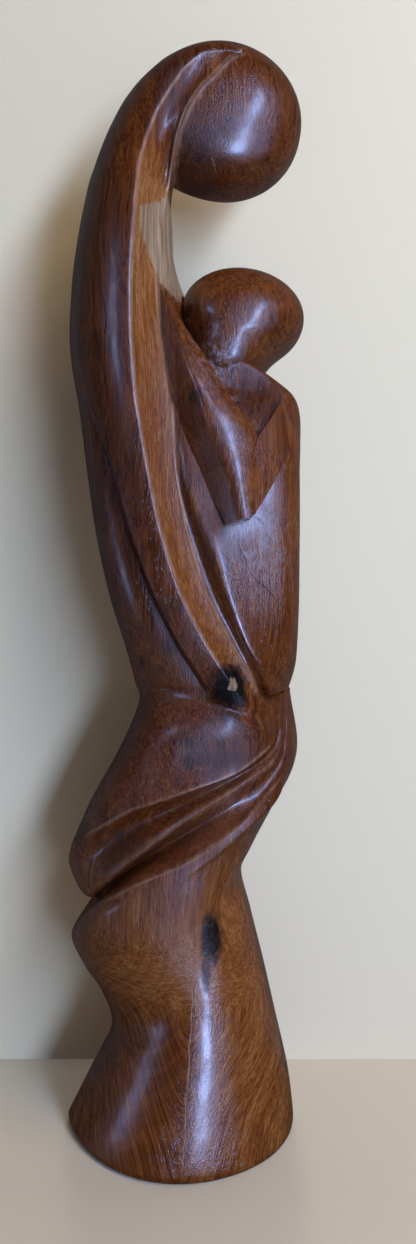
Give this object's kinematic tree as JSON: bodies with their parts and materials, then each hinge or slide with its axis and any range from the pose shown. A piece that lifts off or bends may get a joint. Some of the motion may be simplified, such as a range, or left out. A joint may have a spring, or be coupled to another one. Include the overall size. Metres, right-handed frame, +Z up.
{
  "type": "carved mother and child figure",
  "caption": "Abstract carved hardwood figure of a hooded mother bowing over the child in her arms, with a swept skirt that spreads into a round foot.",
  "frame": {"origin": "centre of the bounding box at the sole of the foot", "axes": "+Z up along the figure's height, +X the way the mother faces, towards the child's back, +Y to the figure's left"},
  "size_m": [0.1052, 0.1016, 0.48],
  "materials": {
    "polished_hardwood": "reddish brown hardwood with dark pores and knots under a glossy varnish"
  },
  "bodies": {
    "root": {"mother_and_child": "polished_hardwood"}
  },
  "joints": []
}
